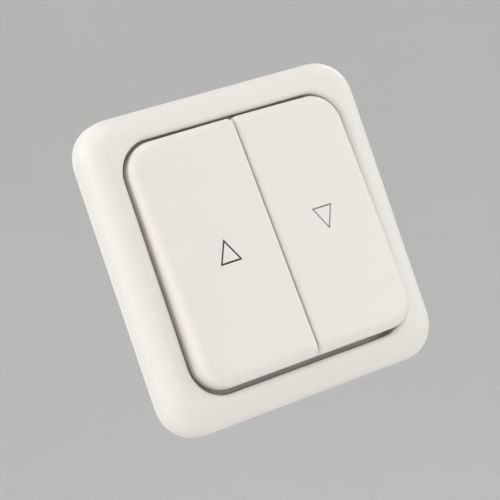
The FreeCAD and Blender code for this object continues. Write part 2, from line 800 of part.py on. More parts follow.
def make_mechanism_cover():
    low, high = d.ring_thick, d.ring_thick + d.cover_thick
    plate = box("cover_plate", -d.cover_reach, d.cover_reach, -high, -low, -d.cover_rise, d.cover_rise)
    half_middle = d.middle_cheek / 2
    cheeks = []
    bounds = ((-half_middle, half_middle, "middle"),
              (d.cover_reach - d.cheek_thick, d.cover_reach, "right"),
              (-d.cover_reach, -(d.cover_reach - d.cheek_thick), "left"))
    half_eye = d.bearing_round
    for x0, x1, name in bounds:
        cheeks.append(box(name + "_cheek", x0, x1, -d.pivot_height, -low, -half_eye, half_eye))
        cheeks.append(rod(name + "_eye", half_eye, (x0, -d.pivot_height, 0), as_size(x1) - x0, along_x))
    solid = fused("cover_solid", [plate] + cheeks)
    tools = []
    window_rise = d.carrier_rise + d.clip_thick + d.window_play
    for side, name in ((right, "right"), (left, "left")):
        bounds = span(half_middle, d.cover_reach - d.cheek_thick, side)
        tools.append(box(name + "_window", *bounds, -high - overrun, -low + overrun,
                         -window_rise, window_rise))
    tools.append(rod("bearing_bore", d.trunnion_radius + d.running_play,
                     (-d.cover_reach - overrun, -d.pivot_height, 0),
                     2 * (d.cover_reach + overrun), along_x))
    for level, name in ((right, "upper"), (left, "lower")):
        start = (0, -high - overrun, level * d.housing_screw_offset)
        clear = d.housing_screw_shank + 2 * d.running_play
        tools.append(rod(name + "_screw_hole", clear, start, d.cover_thick + 2 * overrun, into_wall))
        tools.append(rod(name + "_screw_sink", d.housing_screw_head + d.running_play, start,
                         d.housing_head_thick + overrun, into_wall))
    node(less("mechanism_cover", solid, tools), "mechanism_cover")


# Housing screws: two cheese-head screws from the front through the cover into the base

def make_housing_screws():
    high = d.ring_thick + d.cover_thick
    screws = []
    for level, name in ((right, "upper"), (left, "lower")):
        z = level * d.housing_screw_offset
        head = rod(name + "_head", d.housing_screw_head, (0, -high, z), d.housing_head_thick, into_wall)
        shank = rod(name + "_shank", d.housing_screw_shank, (0, -high, z),
                    d.housing_screw_length, into_wall)
        slot = box(name + "_slot", -d.housing_screw_head, d.housing_screw_head, -high - overrun,
                   -high + d.housing_head_thick / 2, z - d.driver_slot / 2, z + d.driver_slot / 2)
        screws.append(less(name + "_screw", fused(name + "_screw_blank", [head, shank]), [slot]))
    group = document.addObject("Part::Compound", "housing_screws")
    group.Links = screws
    node(group, "housing_screws")


# Carriers with trunnions, plungers and springs, all modelled about the pivot axis

def make_carriers():
    inner = d.middle_cheek / 2 + d.side_play
    outer = d.cover_reach - d.cheek_thick - d.side_play
    plate = box("carrier_plate", inner + d.carrier_inset, outer, -(d.carrier_low + d.carrier_thick),
                -d.carrier_low, -d.carrier_rise, d.carrier_rise)
    hub = rod("carrier_hub", d.hub_radius, (inner, 0, 0), outer - inner, along_x)
    trunnion = rod("carrier_trunnion", d.trunnion_radius, (d.side_play, 0, 0),
                   d.cover_reach - 2 * d.side_play, along_x)
    stem = rod("carrier_stem", d.stem_radius, (d.mechanism_offset, -d.carrier_low, 0),
               d.stem_reach + d.carrier_low, into_wall)
    bore = rod("carrier_bore", d.stem_bore, (d.mechanism_offset, -d.bore_roof, 0),
               d.stem_reach + d.bore_roof + overrun, into_wall)
    carrier = less("actuator_down", fused("carrier_solid", [plate, hub, trunnion, stem]), [bore])
    place(carrier, y=-d.pivot_height, axis=along_x, degrees=-d.rest_tilt)
    node(carrier, "actuator_down")
    node(mirrored(carrier, "actuator_up"), "actuator_up")


def make_plungers():
    x = d.mechanism_offset
    pin = rod("plunger_pin", d.pin_radius, (x, d.plunger_top - d.pin_length, 0),
              d.pin_length + overrun, into_wall)
    shaft = rod("plunger_shaft", d.plunger_radius, (x, d.plunger_top, 0),
                d.plunger_shoulder - d.plunger_top, into_wall)
    cone = document.addObject("Part::Cone", "plunger_cone")
    cone.Placement = FreeCAD.Placement(origin, FreeCAD.Rotation(upward, into_wall))
    bind(cone, "Radius1", d.plunger_radius)
    bind(cone, "Radius2", d.tip_radius)
    bind(cone, "Height", d.plunger_tip - d.tip_radius - d.plunger_shoulder)
    bind(cone, "Placement.Base.x", x)
    bind(cone, "Placement.Base.y", d.plunger_shoulder)
    ball = document.addObject("Part::Sphere", "plunger_ball")
    bind(ball, "Radius", d.tip_radius)
    bind(ball, "Placement.Base.x", x)
    bind(ball, "Placement.Base.y", d.plunger_tip - d.tip_radius)
    plunger = fused("plunger_down", [pin, shaft, cone, ball])
    place(plunger, y=-d.pivot_height, axis=along_x, degrees=-d.rest_tilt)
    node(plunger, "plunger_down")
    node(mirrored(plunger, "plunger_up"), "plunger_up")


def make_springs():
    wire = d.coil_wire_radius.number
    seat = 2 * wire
    height = d.plunger_top.number + d.bore_roof.number - 2 * seat
    helix = Part.makeHelix(height / d.coil_turns.number, height, d.coil_radius.number)
    section = Part.Wire(Part.makeCircle(wire, FreeCAD.Vector(d.coil_radius.number, 0, 0), into_wall))
    coil = Part.Wire(helix.Edges).makePipeShell([section], True, True)
    stand = FreeCAD.Placement(FreeCAD.Vector(0, -d.bore_roof.number + seat, 0),
                              FreeCAD.Rotation(upward, into_wall))
    tilt = FreeCAD.Rotation(along_x, -d.rest_tilt.number)
    for side, label in ((left, "toggle_spring_up"), (right, "toggle_spring_down")):
        spring = document.addObject("Part::Feature", label)
        spring.Shape = coil
        pivot = FreeCAD.Vector(0, -d.pivot_height.number, 0)
        shift = FreeCAD.Placement(FreeCAD.Vector(side * d.mechanism_offset.number, 0, 0), no_turn)
        spring.Placement = FreeCAD.Placement(pivot, tilt) * shift * stand
        node(spring, label)


# See-saw contacts, modelled about their pivot line

def make_see_saws():
    x0 = d.mechanism_offset - d.see_saw_width / 2
    x1 = d.mechanism_offset + d.see_saw_width / 2
    pieces = [box("see_saw_plate", x0, x1, -d.see_saw_thick, 0, -d.see_saw_arm, d.see_saw_arm)]
    for level, name in ((right, "upper"), (left, "lower")):
        pieces.append(rod("see_saw_" + name, d.contact_radius,
                          (d.mechanism_offset, -d.see_saw_thick / 2, level * d.moving_contact_arm),
                          d.contact_thick + d.see_saw_thick / 2, into_wall))
    plate = fused("contact_rocker_down", pieces)
    place(plate, y=d.see_saw_depth, axis=along_x, degrees=d.see_saw_tilt)
    node(plate, "contact_rocker_down")
    node(mirrored(plate, "contact_rocker_up"), "contact_rocker_up")


# Fixed contacts and bus bars: punched brass strips in the housing's floor

def knife(name, side):
    """The knife edge that a see-saw rocks on, with the foot that it stands on."""
    strip = d.floor_depth - d.strip_thick
    half = d.see_saw_width / 2
    x0, x1 = span(d.mechanism_offset - half, d.mechanism_offset + half, side)
    tip = d.see_saw_depth + d.knife_play
    wedge = document.addObject("Part::Wedge", name + "_knife")
    wedge.Placement = FreeCAD.Placement(origin, FreeCAD.Rotation(upward, 0))
    bind(wedge, "Xmin", 0)
    bind(wedge, "Xmax", x1 - x0)
    bind(wedge, "X2min", 0)
    bind(wedge, "X2max", x1 - x0)
    bind(wedge, "Ymin", 0)
    bind(wedge, "Ymax", strip - tip)
    bind(wedge, "Zmin", -d.knife_tip)
    bind(wedge, "Zmax", d.knife_tip)
    bind(wedge, "Z2min", -d.knife_half)
    bind(wedge, "Z2max", d.knife_half)
    bind(wedge, "Placement.Base.x", x0)
    bind(wedge, "Placement.Base.y", tip)
    return wedge


def contact_button(label, start):
    """The button of a fixed contact, with its shank sunk in the strip."""
    return rod(label + "_button", d.contact_radius, start, d.contact_stand + d.strip_thick / 2, into_wall)


def make_fixed_contact(label, side):
    """A strip from the contact to its terminal, with the plate that the wire lies on."""
    back, front = d.floor_depth, d.floor_depth - d.strip_thick
    half = d.strip_width / 2
    x0, x1 = span(d.mechanism_offset - half, d.mechanism_offset + half, side)
    plate = d.plate_rise - d.strip_thick
    pieces = [
        box(label + "_strip", x0, x1, front, back, d.contact_arm - half, d.plate_rise),
        box(label + "_plate", x0, x1, front, d.plate_reach, plate, d.plate_rise),
        contact_button(label, (side * d.mechanism_offset, d.contact_depth, d.contact_arm)),
    ]
    node(fused(label, pieces), label)


def make_feed_bar():
    back, front = d.floor_depth, d.floor_depth - d.strip_thick
    rail_outer = d.feed_chamber_reach - d.strip_play
    rail_inner = rail_outer - d.rail_width
    tab_inner = d.mechanism_offset - d.strip_width / 2
    foot_inner = d.mechanism_offset - d.see_saw_width / 2
    low = -d.plate_rise
    pieces = [
        box("feed_rail", -rail_outer, -rail_inner, front, back, low, d.knife_foot),
        box("feed_foot", -rail_outer, -foot_inner, front, back, -d.knife_foot, d.knife_foot),
        box("feed_tab", -rail_outer, -tab_inner, front, back, low, -d.chamber_low - d.strip_play),
        box("feed_plate", -rail_outer, -tab_inner, front, d.plate_reach, low, low + d.strip_thick),
        knife("feed", left),
    ]
    node(fused("feed_bar", pieces), "feed_bar")


def make_link_bar():
    back, front = d.floor_depth, d.floor_depth - d.strip_thick
    half = d.strip_width / 2
    low, high = link_rise()
    rail_outer = d.mechanism_offset - d.see_saw_width / 2 - 2 * d.strip_play
    rail_inner = rail_outer - d.rail_width
    outer = d.mechanism_offset + d.see_saw_width / 2
    pieces = [
        box("link_strip", -(d.mechanism_offset + half), rail_outer, front, back, low, high),
        box("link_rail", rail_inner, rail_outer, front, back, low, d.knife_foot),
        box("link_foot", rail_inner, outer, front, back, -d.knife_foot, d.knife_foot),
        contact_button("link", (-d.mechanism_offset, d.contact_depth, -d.contact_arm)),
        knife("link", right),
    ]
    node(fused("link_bar", pieces), "link_bar")


# Screwless terminals: bent leaf spring and release button

def make_clamp_springs():
    back = d.floor_depth.number + d.clamp_play.number
    loop = d.clamp_loop.number
    loop_rise = d.clamp_loop_rise.number
    back_rise = loop_rise + d.clamp_back.number
    tip_rise = loop_rise + d.clamp_reach.number
    thick = d.clamp_thick.number
    front = back + 2 * loop
    lean = d.clamp_tip_lean.number

    def at(y, z):
        return FreeCAD.Vector(0, y, z)

    inner = [
        Part.makeLine(at(back + thick, back_rise), at(back + thick, loop_rise)),
        Part.Arc(at(back + thick, loop_rise), at(back + loop, loop_rise - loop + thick),
                 at(front - thick, loop_rise)).toShape(),
        Part.makeLine(at(front - thick, loop_rise), at(front - thick - lean, tip_rise)),
    ]
    outer = [
        Part.makeLine(at(front - lean, tip_rise), at(front, loop_rise)),
        Part.Arc(at(front, loop_rise), at(back + loop, loop_rise - loop), at(back, loop_rise)).toShape(),
        Part.makeLine(at(back, loop_rise), at(back, back_rise)),
    ]
    tip = Part.makeLine(inner[-1].Vertexes[-1].Point, outer[0].Vertexes[0].Point)
    heel = Part.makeLine(outer[-1].Vertexes[-1].Point, inner[0].Vertexes[0].Point)
    face = Part.Face(Part.Wire(inner + [tip] + outer + [heel]))
    leaf = face.extrude(FreeCAD.Vector(d.clamp_width.number, 0, 0))
    for label, (side, level) in terminals.items():
        spring = document.addObject("Part::Feature", "clamp_spring_" + label)
        spring.Shape = leaf
        x = side * d.mechanism_offset.number
        half = d.clamp_width.number / 2
        turn = no_turn if level == right else FreeCAD.Rotation(into_wall, 180)
        start = FreeCAD.Vector(x - half, 0, 0) if level == right else FreeCAD.Vector(x + half, 0, 0)
        spring.Placement = FreeCAD.Placement(start, turn)
        node(spring, "clamp_spring_" + label)


def make_release_buttons():
    for label, (side, level) in terminals.items():
        half = d.button_width / 2
        flange = d.button_flange / 2
        thick = d.button_thick / 2
        rise = span(d.button_rise - thick, d.button_rise + thick, level)
        wall = d.chamber_depth - d.button_play
        nose = wall - d.button_stop
        key = box(label + "_key", *span(d.mechanism_offset - half, d.mechanism_offset + half, side),
                  nose, d.base_depth + d.button_proud, *rise)
        stop = box(label + "_key_stop", *span(d.mechanism_offset - flange, d.mechanism_offset + flange, side),
                   nose, wall, *rise)
        name = "release_button_" + label
        node(fused(name, [key, stop]), name)


# Spreading claws, their nuts and their screws

def ramp_face(depth):
    """How far out the ramp's slope stands at a depth."""
    slope = d.ramp_rise / (d.ramp_back - d.ramp_front)
    return d.base_side / 2 + (d.ramp_back - depth) * slope


def make_claws():
    body = new_body("claw_right")
    foot_back = d.claw_foot_depth
    foot_front = foot_back - d.claw_thick
    leg_front = d.claw_leg_front
    inner_front = ramp_face(leg_front) + d.claw_play
    inner_back = ramp_face(foot_back) + d.claw_play
    legs = new_sketch(body, "section", "XY_Plane")
    polygon(legs, [
        (inner_back, foot_back), (inner_front, leg_front), (inner_front + d.claw_thick, leg_front),
        (ramp_face(foot_front) + d.claw_play + d.claw_thick, foot_front), (d.claw_reach, foot_front),
        (d.claw_reach + d.claw_tooth, foot_front + d.claw_thick / 2), (d.claw_reach, foot_back)])
    pad(body, legs, 2 * d.claw_half_height, symmetric=True)
    fork = new_sketch(body, "fork", "XZ_Plane", -d.base_depth)
    rectangle(fork, d.base_side / 2 - overrun, d.claw_fork_end, -d.claw_fork, d.claw_fork)
    pocket(body, fork, d.base_depth, backwards=True)
    bite = new_sketch(body, "bite", "XZ_Plane", -d.base_depth)
    rectangle(bite, d.claw_reach, d.claw_reach + 2 * d.claw_tooth, -d.claw_fork, d.claw_fork)
    pocket(body, bite, d.base_depth, backwards=True)
    node(body, "claw_right")
    node(mirrored(body, "claw_left"), "claw_left")


def make_claw_nuts():
    front = d.claw_nut_depth
    for side, name in ((right, "right"), (left, "left")):
        x = side * d.claw_offset
        block = box(name + "_nut_block", x - d.nut_half_width, x + d.nut_half_width, front,
                    front + d.nut_thick, -d.nut_half_height, d.nut_half_height)
        bore = rod(name + "_nut_bore", d.claw_shank + d.running_play, (x, front - overrun, 0),
                   d.nut_thick + 2 * overrun, into_wall)
        label = "claw_nut_" + name
        node(less(label, block, [bore]), label)


def make_claw_screws():
    front = d.ring_thick + d.claw_head_thick
    for side, name in ((right, "right"), (left, "left")):
        x = side * d.claw_offset
        head = rod(name + "_claw_head", d.claw_head_radius, (x, -front, 0), d.claw_head_thick, into_wall)
        shank = rod(name + "_claw_shank", d.claw_shank, (x, -front, 0), front + d.claw_screw_end, into_wall)
        slot = box(name + "_claw_slot", x - d.claw_head_radius, x + d.claw_head_radius,
                   -front - overrun, -front + d.driver_depth, -d.driver_slot / 2, d.driver_slot / 2)
        label = "claw_screw_" + name
        node(less(label, fused(name + "_claw_blank", [head, shank]), [slot]), label)


make_cover_frame()
make_rockers()
make_support_ring()
make_base_housing()
make_mechanism_cover()
make_housing_screws()
make_carriers()
make_plungers()
make_springs()
make_see_saws()
make_fixed_contact("up_contact", left)
make_fixed_contact("down_contact", right)
make_feed_bar()
make_link_bar()
make_clamp_springs()
make_release_buttons()
make_claws()
make_claw_nuts()
make_claw_screws()
document.recompute()


# Check and export

for item in document.Objects:
    if "Invalid" in item.State or "Error" in item.State:
        raise RuntimeError(item.Label + " failed: " + ", ".join(item.State))
os.makedirs("parts", exist_ok=True)
for label, item in nodes.items():
    if item.Shape.isNull() or not item.Shape.isValid():
        raise RuntimeError(label + " has no valid shape")
    item.Shape.exportStep(os.path.join("parts", label + ".step"))
    print(label, len(item.Shape.Solids), round(item.Shape.Volume, 2))
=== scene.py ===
import math

import bmesh
import bpy
from mathutils import Matrix, Vector
from mathutils.bvhtree import BVHTree


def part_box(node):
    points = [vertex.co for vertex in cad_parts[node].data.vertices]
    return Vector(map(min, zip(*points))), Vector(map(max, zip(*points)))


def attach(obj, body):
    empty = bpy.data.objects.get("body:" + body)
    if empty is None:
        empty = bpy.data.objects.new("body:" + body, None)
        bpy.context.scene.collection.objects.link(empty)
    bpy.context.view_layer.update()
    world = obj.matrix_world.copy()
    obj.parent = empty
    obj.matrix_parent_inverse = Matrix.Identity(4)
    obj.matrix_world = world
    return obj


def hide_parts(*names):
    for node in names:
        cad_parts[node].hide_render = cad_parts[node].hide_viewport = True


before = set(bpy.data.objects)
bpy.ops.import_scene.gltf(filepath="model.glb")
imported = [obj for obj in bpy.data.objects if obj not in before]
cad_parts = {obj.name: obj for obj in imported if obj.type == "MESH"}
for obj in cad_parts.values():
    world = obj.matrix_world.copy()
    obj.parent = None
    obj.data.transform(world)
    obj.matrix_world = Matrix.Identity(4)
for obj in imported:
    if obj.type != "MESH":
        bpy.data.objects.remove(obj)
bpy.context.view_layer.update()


# Base housing.
# The real one is a deep box of grey glass-filled thermoset, pressed in one shot: dull, faintly
# speckled by its filler, with edges that the tool leaves very slightly rounded.
MM = 0.001
same_point = 0.001 * MM
sharp_edge = math.radians(35)
dark_grey = (0.36, 0.37, 0.38)
light_grey = (0.47, 0.48, 0.49)


class Wire:
    """A socket of a node tree, with which formulas are written."""

    def __init__(self, tree, socket=None):
        self.tree = tree
        self.socket = socket

    def node(self, kind, settings=None, inputs=None, output=0):
        """Adds a node: its settings first, then the values or links of its sockets."""
        made = self.tree.nodes.new(kind)
        for name, value in (settings or {}).items():
            setattr(made, name, value)
        for name, value in (inputs or {}).items():
            for single in value if isinstance(value, list) else [value]:
                if isinstance(single, Wire):
                    self.tree.links.new(single.socket, made.inputs[name])
                else:
                    made.inputs[name].default_value = single
        return Wire(self.tree, made.outputs[output] if made.outputs else None)

    def other(self, output):
        """Another output of the same node."""
        return Wire(self.tree, self.socket.node.outputs[output])

    def math(self, operation, first, second=0.0):
        return self.node("ShaderNodeMath", {"operation": operation}, {0: first, 1: second})

    def __add__(self, other):
        return self.math("ADD", self, other)

    def __sub__(self, other):
        return self.math("SUBTRACT", self, other)

    def __mul__(self, other):
        return self.math("MULTIPLY", self, other)

    def __truediv__(self, other):
        return self.math("DIVIDE", self, other)

    def __rsub__(self, other):
        return self.math("SUBTRACT", other, self)

    __radd__ = __add__
    __rmul__ = __mul__

    def clamped(self, low=0.0, high=1.0):
        return self.node("ShaderNodeClamp", None, {"Value": self, "Min": low, "Max": high})

    def mixed(self, low, high):
        """The colour low where this is 0 and high where it is 1: sockets 6 and 7 of a Mix node."""
        sides = {"Factor": self, 6: low if isinstance(low, Wire) else (*low, 1),
                 7: high if isinstance(high, Wire) else (*high, 1)}
        return self.node("ShaderNodeMix", {"data_type": "RGBA"}, sides, output=2)


class Finish(Wire):
    """A procedural material on the object's own coordinates, in metres."""

    def __init__(self, name, **constants):
        self.material = bpy.data.materials.new(name)
        self.material.use_nodes = True
        super().__init__(self.material.node_tree)
        self.shader = self.tree.nodes["Principled BSDF"]
        self.place = self.node("ShaderNodeTexCoord", output="Object")
        for socket, value in constants.items():
            self.shader.inputs[socket.replace("_", " ")].default_value = value

    def noise(self, size, detail=2.0, stretch=(1, 1, 1)):
        """Cloudy noise from 0 to 1, with lumps of that size in metres, stretched along an axis."""
        scale = tuple(1 / (size * factor) for factor in stretch)
        spread = self.node("ShaderNodeMapping", None, {"Vector": self.place, "Scale": scale})
        return self.node("ShaderNodeTexNoise", None, {"Vector": spread, "Scale": 1.0, "Detail": detail})

    def feed(self, socket, value):
        self.tree.links.new(value.socket, self.shader.inputs[socket])

    def bump(self, height, distance, strength=1.0):
        """Relief of that depth in metres, from a height of 0 to 1."""
        relief = self.node("ShaderNodeBump", None,
                           {"Height": height, "Distance": distance, "Strength": strength})
        self.feed("Normal", relief)

    def dress(self, *names):
        """Gives this finish to nodes of the frame."""
        for name in names:
            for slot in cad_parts[name].material_slots:
                slot.material = self.material


def soften(width, *names):
    """Rounds the sharp edges of nodes of the frame by a hair, as tooling and punching leave them."""
    for name in names:
        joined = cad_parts[name].modifiers.new("joined", "WELD")
        joined.merge_threshold = same_point
        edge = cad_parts[name].modifiers.new("edge", "BEVEL")
        edge.width = width
        edge.segments = 2
        edge.limit_method = "ANGLE"
        edge.angle_limit = sharp_edge
        edge.harden_normals = True


housing = Finish("housing_thermoset", Specular_IOR_Level=0.45)
speck = housing.noise(0.35 * MM, detail=3)
cloud = housing.noise(9 * MM)
housing.feed("Base Color", (speck * 0.7 + cloud * 0.3).mixed(dark_grey, light_grey))
housing.feed("Roughness", speck * 0.14 + 0.48)
housing.bump(speck, 0.012 * MM)
housing.dress("base_housing")
soften(0.12 * MM, "base_housing")


# Fixed contacts and bus bars.
# Strips punched and folded from brass sheet and pressed into the housing's slots. The round contact
# buttons riveted to them are silver, and the brass keeps faint rolling marks along its length.
button_radius = 1.3 * MM
button_out = 11.5 * MM
button_up = 8.0 * MM
dull_yellow = (0.70, 0.50, 0.20)
bright_yellow = (0.83, 0.64, 0.31)
contact_silver = (0.82, 0.81, 0.78)

brass = Finish("contact_brass", Metallic=1.0)
rolled = brass.noise(0.25 * MM, detail=3, stretch=(1, 1, 14))
tarnish = brass.noise(3 * MM, detail=4)
apart = brass.node("ShaderNodeSeparateXYZ", None, {"Vector": brass.place})
across = brass.math("ABSOLUTE", apart) - button_out
along = brass.math("ABSOLUTE", apart.other("Z")) - button_up
from_button = brass.math("SQRT", across * across + along * along)
silver = brass.math("LESS_THAN", from_button, button_radius)
brass.feed("Base Color", silver.mixed(tarnish.mixed(dull_yellow, bright_yellow), contact_silver))
brass.feed("Roughness", rolled * 0.22 + 0.2)
brass.bump(rolled, 0.004 * MM)
brass.dress("up_contact", "down_contact", "feed_bar", "link_bar")
soften(0.06 * MM, "up_contact", "down_contact", "feed_bar", "link_bar")


# Contact rockers.
# Small see-saws of the same brass, pivoting on a knife edge, that the plungers tip from one side
# to the other. Each has a silver button riveted to both of its arms.
brass.dress("contact_rocker_up", "contact_rocker_down")


# Screwless terminals.
# Looped leaf springs of bright strip steel that press each wire against its brass plate, and the
# orange acetal buttons that are pushed in from behind to let a wire go again.
dark_steel = (0.42, 0.42, 0.43)
bright_steel = (0.60, 0.60, 0.60)
deep_orange = (0.66, 0.17, 0.02)
clear_orange = (0.76, 0.24, 0.03)

leaf = Finish("spring_strip", Metallic=1.0)
drawn = leaf.noise(0.2 * MM, detail=3, stretch=(12, 1, 1))
leaf.feed("Base Color", drawn.mixed(dark_steel, bright_steel))
leaf.feed("Roughness", drawn * 0.2 + 0.18)
leaf.bump(drawn, 0.003 * MM)

button = Finish("button_acetal", Specular_IOR_Level=0.5)
flow = button.noise(1.6 * MM, detail=3)
button.feed("Base Color", flow.mixed(deep_orange, clear_orange))
button.feed("Roughness", flow * 0.12 + 0.3)
button.bump(button.noise(0.15 * MM), 0.004 * MM)

for wire in ("up", "down", "feed"):
    leaf.dress("clamp_spring_" + wire)
    button.dress("release_button_" + wire)
    soften(0.08 * MM, "release_button_" + wire)


# Rocker carriers with their snap action.
# Each cap sits on a trunnioned carrier of natural white acetal. A wire spring in its stem drives a
# black plunger along the contact rocker, which gives the switch its click.
milky = (0.66, 0.65, 0.61)
natural_white = (0.74, 0.73, 0.69)
deep_black = (0.018, 0.018, 0.019)
rubbed_black = (0.038, 0.038, 0.040)

acetal = Finish("carrier_acetal", Specular_IOR_Level=0.5)
waxy = acetal.noise(4 * MM, detail=3)
acetal.feed("Base Color", waxy.mixed(milky, natural_white))
acetal.feed("Roughness", waxy * 0.15 + 0.33)
acetal.bump(acetal.noise(0.2 * MM), 0.004 * MM)

glide = Finish("plunger_acetal", Specular_IOR_Level=0.5)
rubbed = glide.noise(0.5 * MM, detail=3, stretch=(1, 4, 1))
glide.feed("Base Color", rubbed.mixed(deep_black, rubbed_black))
glide.feed("Roughness", rubbed * 0.2 + 0.28)
glide.bump(rubbed, 0.004 * MM)

for way in ("up", "down"):
    acetal.dress("actuator_" + way)
    glide.dress("plunger_" + way)
    leaf.dress("toggle_spring_" + way)
    soften(0.1 * MM, "actuator_" + way)


# Mechanism cover.
# The lid of the insert, of the housing's thermoset, with the bearing cheeks of the two carriers.
# It's held by the two housing screws, which pass through the support ring.
housing.dress("mechanism_cover")
soften(0.1 * MM, "mechanism_cover")


# Support ring and housing screws.
# A square ring punched from zinc-plated sheet that lies on the wall, slotted for the device screws.
# The plating has a faint spangle and rolling marks; the screws are turned and plated the same.
spangle_size = 2.2 * MM
dark_zinc = (0.50, 0.51, 0.51)
bright_zinc = (0.66, 0.67, 0.66)
hazy_zinc = (0.55, 0.55, 0.50)
yellowish_zinc = (0.70, 0.70, 0.65)

plate = Finish("zinc_plated_sheet", Metallic=1.0)
spangle = plate.node("ShaderNodeTexVoronoi", {"feature": "F1"},
                     {"Vector": plate.place, "Scale": 1 / spangle_size}, output="Color")
flake = plate.node("ShaderNodeRGBToBW", None, {"Color": spangle})
rolling = plate.noise(0.12 * MM, detail=3, stretch=(30, 1, 1))
plate.feed("Base Color", (flake * 0.3 + rolling * 0.7).mixed(dark_zinc, bright_zinc))
plate.feed("Roughness", flake * 0.06 + rolling * 0.16 + 0.28)
plate.bump(rolling, 0.003 * MM)
plate.dress("support_ring")
soften(0.08 * MM, "support_ring")

turned = Finish("zinc_plated_screw", Metallic=1.0)
lathe = turned.noise(0.08 * MM, detail=2, stretch=(8, 1, 8))
haze = turned.noise(1.5 * MM, detail=3)
turned.feed("Base Color", haze.mixed(hazy_zinc, yellowish_zinc))
turned.feed("Roughness", lathe * 0.18 + 0.2)
turned.bump(lathe, 0.003 * MM)
turned.dress("housing_screws")


# Spreading claws.
# Forked claws of the ring's sheet, each drawn up its ramp by a square nut on a long slotted screw.
# The screws are zinc-plated steel with a rolled right-hand thread from under the head to the tip.
head_thick = 1.8 * MM
shank_radius = 1.45 * MM
thread_depth = 0.4 * MM
thread_pitch = 0.8 * MM
crest_share = 0.19
corners_round = 42

plate.dress("claw_left", "claw_right")
turned.dress("claw_nut_left", "claw_nut_right")
soften(0.08 * MM, "claw_left", "claw_right", "claw_nut_left", "claw_nut_right")


def thread_tree():
    """Turns the plain shank of a screw along Y into a thread, row by row of a grid wound round it."""
    tree = bpy.data.node_groups.new("rolled_thread", "GeometryNodeTree")
    sockets = {"Screw": "Geometry", "Out": "Float", "Start": "Float", "End": "Float", "Radius": "Float",
               "Depth": "Float", "Pitch": "Float", "Crest": "Float", "Around": "Int",
               "Finish": "Material"}
    for name, kind in sockets.items():
        tree.interface.new_socket(name, in_out="INPUT", socket_type="NodeSocket" + kind)
    tree.interface.new_socket("Screw", in_out="OUTPUT", socket_type="NodeSocketGeometry")
    screw = Wire(tree).node("NodeGroupInput")
    start, end, pitch, around = (screw.other(name) for name in ("Start", "End", "Pitch", "Around"))

    # The flat sides of the shank go, and its head and tip stay.
    margin = 0.01 * MM
    seam = 0.003 * MM
    position = screw.node("GeometryNodeInputPosition")
    place = screw.node("ShaderNodeSeparateXYZ", None, {"Vector": position})
    past_head = screw.math("GREATER_THAN", place.other("Y"), start + margin)
    before_tip = screw.math("LESS_THAN", place.other("Y"), end - margin)
    bare = screw.node("GeometryNodeDeleteGeometry", {"domain": "FACE"},
                      {"Geometry": screw, "Selection": past_head * before_tip})

    # Four rows of a flat grid make one turn: both edges of the crest, then both edges of the root.
    rows_in_turn = 4
    quarter = 1 / rows_in_turn
    rows = (screw.math("CEIL", (end - start) / pitch) + 2) * rows_in_turn
    grid = screw.node("GeometryNodeMeshGrid", None,
                      {"Size X": 1.0, "Size Y": rows, "Vertices X": around + 1, "Vertices Y": rows + 1})
    part_round = place.other("X") + 0.5
    row = screw.math("ROUND", place.other("Y") + rows * 0.5)
    step = screw.math("MODULO", row, rows_in_turn)
    second_edge = screw.math("MODULO", step, 2)
    at_root = screw.math("GREATER_THAN", step, 1.5)
    turns = screw.math("FLOOR", row / rows_in_turn) + step * quarter
    turns = turns - second_edge * (quarter - screw.other("Crest"))

    # The grid is wound round the shank a turn early, and what lies past an end is held at that end.
    along = (start + (turns - 1 + part_round) * pitch).clamped(start, end)
    from_ends = ((along - start) / pitch).clamped() * ((end - along) / pitch).clamped()
    radius = screw.other("Radius") - at_root * from_ends * screw.other("Depth")
    angle = part_round * (2 * math.pi)
    wound = screw.node("ShaderNodeCombineXYZ", None, {
        "X": screw.other("Out") + radius * screw.math("COSINE", angle), "Y": along,
        "Z": radius * screw.math("SINE", angle) * -1})
    thread = screw.node("GeometryNodeSetPosition", None, {"Geometry": grid, "Position": wound})

    whole = screw.node("GeometryNodeJoinGeometry", None, {"Geometry": [bare, thread]})
    closed = screw.node("GeometryNodeMergeByDistance", None, {"Geometry": whole, "Distance": seam})
    solid = screw.node("GeometryNodeRealizeInstances", None, {"Geometry": closed})
    dressed = screw.node("GeometryNodeSetMaterial", None,
                         {"Geometry": solid, "Material": screw.other("Finish")})
    dressed.node("NodeGroupOutput", None, {"Screw": dressed})
    return tree


def threaded_screw(name, node):
    """A screw of the frame with its thread rolled on, which stands for the plain one."""
    low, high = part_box(node)
    sizes = {"Out": (low.x + high.x) / 2, "Start": low.y + head_thick, "End": high.y,
             "Radius": shank_radius, "Depth": thread_depth, "Pitch": thread_pitch,
             "Crest": crest_share, "Around": corners_round, "Finish": turned.material}
    blank = bpy.data.objects.new("blank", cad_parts[node].data)
    bpy.context.collection.objects.link(blank)
    roller = blank.modifiers.new("thread", "NODES")
    roller.node_group = rolled_thread
    for socket, size in sizes.items():
        roller[rolled_thread.interface.items_tree[socket].identifier] = size
    finished = blank.evaluated_get(bpy.context.evaluated_depsgraph_get())
    form = bpy.data.meshes.new_from_object(finished)
    bpy.data.objects.remove(blank)
    shell = bmesh.new()
    shell.from_mesh(form)
    bmesh.ops.recalc_face_normals(shell, faces=shell.faces)
    shell.to_mesh(form)
    shell.free()
    form.shade_smooth()
    form.set_sharp_from_angle(angle=sharp_edge)
    piece = bpy.data.objects.new(name, form)
    bpy.context.collection.objects.link(piece)
    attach(piece, node)
    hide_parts(node)


rolled_thread = thread_tree()
for side in ("left", "right"):
    threaded_screw("threaded_screw_" + side, "claw_screw_" + side)


